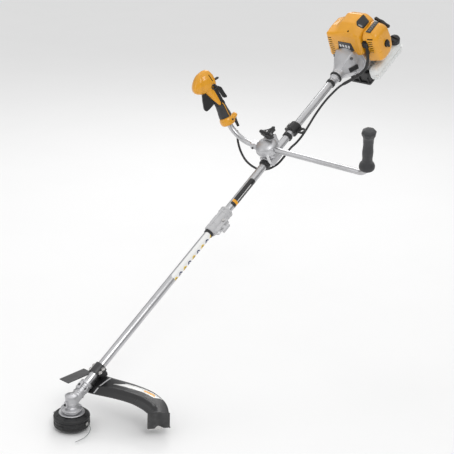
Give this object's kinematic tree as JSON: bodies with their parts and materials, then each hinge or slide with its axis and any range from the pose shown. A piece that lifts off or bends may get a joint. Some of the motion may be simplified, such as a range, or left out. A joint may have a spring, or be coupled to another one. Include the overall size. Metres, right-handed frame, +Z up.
{
  "type": "string trimmer",
  "caption": "Petrol string trimmer with a split straight shaft, bull-horn handlebar, throttle grip, guard and bump-feed line head.",
  "frame": {"origin": "centre of the bump knob's flat bottom, on the line head's spindle axis", "axes": "+Z up along the spindle, +X along the ground below the shaft towards the engine, +Y towards the throttle grip"},
  "size_m": [1.5481, 0.6969, 1.0838],
  "materials": {
    "tube_silver": "satin anodised",
    "cast_silver": "die cast, fine blast",
    "amber_plastic": "semi-gloss moulded",
    "black_plastic": "moulded, fine grain",
    "black_rubber": "soft matt",
    "cable_sheath": "satin sheath",
    "steel": "machined",
    "tank_plastic": "milky translucent",
    "trimmer_line": "extruded nylon",
    "filter_foam": "open foam"
  },
  "bodies": {
    "root": {"upper_tube": "tube_silver", "coupler_body": "cast_silver", "harness_clamp": "black_plastic", "tube_bands": "black_rubber", "handle_bracket": "cast_silver", "throttle_cable": "cable_sheath", "clutch_housing": "cast_silver", "crankcase": "cast_silver", "cylinder": "cast_silver", "muffler": "steel", "carburettor": "black_plastic", "air_filter_cover": "amber_plastic", "air_filter": "filter_foam", "engine_cover": "amber_plastic", "plug_cap": "black_rubber", "spark_plug": "steel", "fuel_tank": "tank_plastic", "starter_housing": "black_plastic", "engine_foot": "black_plastic"},
    "lower_shaft": {"lower_tube": "tube_silver", "gear_case": "cast_silver", "gear_bearings": "steel", "guard": "black_plastic", "guard_bracket": "steel", "line_cutter": "steel"},
    "lower_drive": {"lower_drive_shaft": "steel", "pinion_gear": "steel"},
    "upper_drive": {"upper_drive_shaft": "steel", "clutch_drum": "steel"},
    "head": {"output_shaft": "steel", "output_gear": "steel", "blade_flange": "cast_silver", "spool_housing": "black_plastic", "head_cover": "black_plastic", "bump_spring": "steel", "line_eyelets": "steel", "cutting_line_front": "trimmer_line", "cutting_line_rear": "trimmer_line"},
    "spool": {"line_spool": "black_plastic", "wound_line": "trimmer_line"},
    "handlebar": {"handlebar": "tube_silver", "handle_cap": "cast_silver", "left_grip": "black_rubber", "throttle_housing": "amber_plastic", "grip_sleeve": "black_rubber"},
    "clamp_knob": {"clamp_knob": "black_plastic"},
    "trigger": {"throttle_trigger": "black_plastic"},
    "lock_lever": {"throttle_lock": "black_plastic"},
    "stop_switch": {"stop_switch": "black_plastic"},
    "start_button": {"start_button": "black_plastic"},
    "coupler_knob": {"coupler_knob": "black_plastic"},
    "coupler_button": {"coupler_button": "black_plastic"},
    "crank": {"crankshaft": "steel", "flywheel": "steel", "clutch_shoes": "steel"},
    "piston": {"piston": "steel"},
    "pulley": {"starter_pulley": "black_plastic"},
    "starter_grip": {"starter_grip": "black_plastic"},
    "fuel_cap": {"fuel_cap": "black_plastic"},
    "filter_knob": {"filter_knob": "black_plastic"}
  },
  "joints": [
    {"name": "shaft_release", "type": "slide", "parent": "root", "child": "lower_shaft", "axis": [-0.8419, 0, -0.5397], "range_m": [0, 0.08]},
    {"name": "lower_drive_spin", "type": "hinge", "parent": "lower_shaft", "child": "lower_drive", "pos_m": [0, 0, 0.082], "axis": [0.8419, 0, 0.5397], "continuous": true},
    {"name": "drive_spin", "type": "hinge", "parent": "root", "child": "upper_drive", "pos_m": [0, 0, 0.082], "axis": [0.8419, 0, 0.5397], "continuous": true},
    {"name": "head_spin", "type": "hinge", "parent": "lower_shaft", "child": "head", "pos_m": [0, 0, 0], "axis": [0, 0, 1], "continuous": true},
    {"name": "spool_bump", "type": "slide", "parent": "head", "child": "spool", "axis": [0, 0, 1], "range_m": [0, 0.006], "stiffness_N_per_m": 600, "springref_m": -0.01, "deforming": ["bump_spring"]},
    {"name": "handlebar_swivel", "type": "hinge", "parent": "root", "child": "handlebar", "pos_m": [0.88651, 0, 0.65025], "axis": [0.5397, 0, -0.8419], "range_deg": [0, 90], "deforming": ["throttle_cable"]},
    {"name": "clamp_knob_turn", "type": "hinge", "parent": "handlebar", "child": "clamp_knob", "pos_m": [0.87686, 0, 0.71534], "axis": [-0.5397, 0, 0.8419], "range_deg": [0, 360]},
    {"name": "trigger_pull", "type": "hinge", "parent": "handlebar", "child": "trigger", "pos_m": [0.80173, 0.19231, 0.84689], "axis": [-0.49, -0.8619, 0.1301], "range_deg": [0, 12], "stiffness_Nm_per_rad": 0.2, "springref_deg": -22.92},
    {"name": "lock_press", "type": "hinge", "parent": "handlebar", "child": "lock_lever", "pos_m": [0.81685, 0.18551, 0.85877], "axis": [0.49, 0.8619, -0.1301], "range_deg": [0, 8], "stiffness_Nm_per_rad": 0.2, "springref_deg": -17.19},
    {"name": "stop_switch_slide", "type": "slide", "parent": "handlebar", "child": "stop_switch", "axis": [-0.3043, 0.309, 0.9011], "range_m": [0, 0.007]},
    {"name": "start_button_press", "type": "slide", "parent": "handlebar", "child": "start_button", "axis": [0.49, 0.8619, -0.1301], "range_m": [0, 0.003], "stiffness_N_per_m": 300, "springref_m": -0.004},
    {"name": "coupler_knob_turn", "type": "hinge", "parent": "root", "child": "coupler_knob", "pos_m": [0.61963, -0.04, 0.47918], "axis": [0, -1, 0], "range_deg": [0, 360]},
    {"name": "coupler_button_pull", "type": "slide", "parent": "root", "child": "coupler_button", "axis": [0, -1, 0], "range_m": [0, 0.006], "stiffness_N_per_m": 500, "springref_m": -0.006},
    {"name": "crank_spin", "type": "hinge", "parent": "root", "child": "crank", "pos_m": [1.30072, 0, 0.91576], "axis": [0.8419, 0, 0.5397], "continuous": true},
    {"name": "piston_stroke", "type": "slide", "parent": "root", "child": "piston", "axis": [0.5397, 0, -0.8419], "range_m": [0, 0.03]},
    {"name": "starter_pull", "type": "slide", "parent": "root", "child": "starter_grip", "axis": [0.8419, 0, 0.5397], "range_m": [0, 0.35], "stiffness_N_per_m": 6, "springref_m": -0.15},
    {"name": "pulley_spin", "type": "hinge", "parent": "root", "child": "pulley", "pos_m": [1.30072, 0, 0.91576], "axis": [0.8419, 0, 0.5397], "continuous": true},
    {"name": "fuel_cap_turn", "type": "hinge", "parent": "root", "child": "fuel_cap", "pos_m": [1.45411, -0.076, 0.96183], "axis": [-0.5071, -0.342, 0.7911], "range_deg": [0, 360]},
    {"name": "filter_knob_turn", "type": "hinge", "parent": "root", "child": "filter_knob", "pos_m": [1.33254, -0.125, 0.98842], "axis": [0, -1, 0], "range_deg": [0, 90]}
  ],
  "couplings": [
    {"joint": "lower_drive_spin", "follows": "drive_spin", "ratio": 1},
    {"joint": "head_spin", "follows": "drive_spin", "ratio": 0.78947},
    {"joint": "pulley_spin", "follows": "starter_pull", "rad_per_m": 41.667}
  ]
}
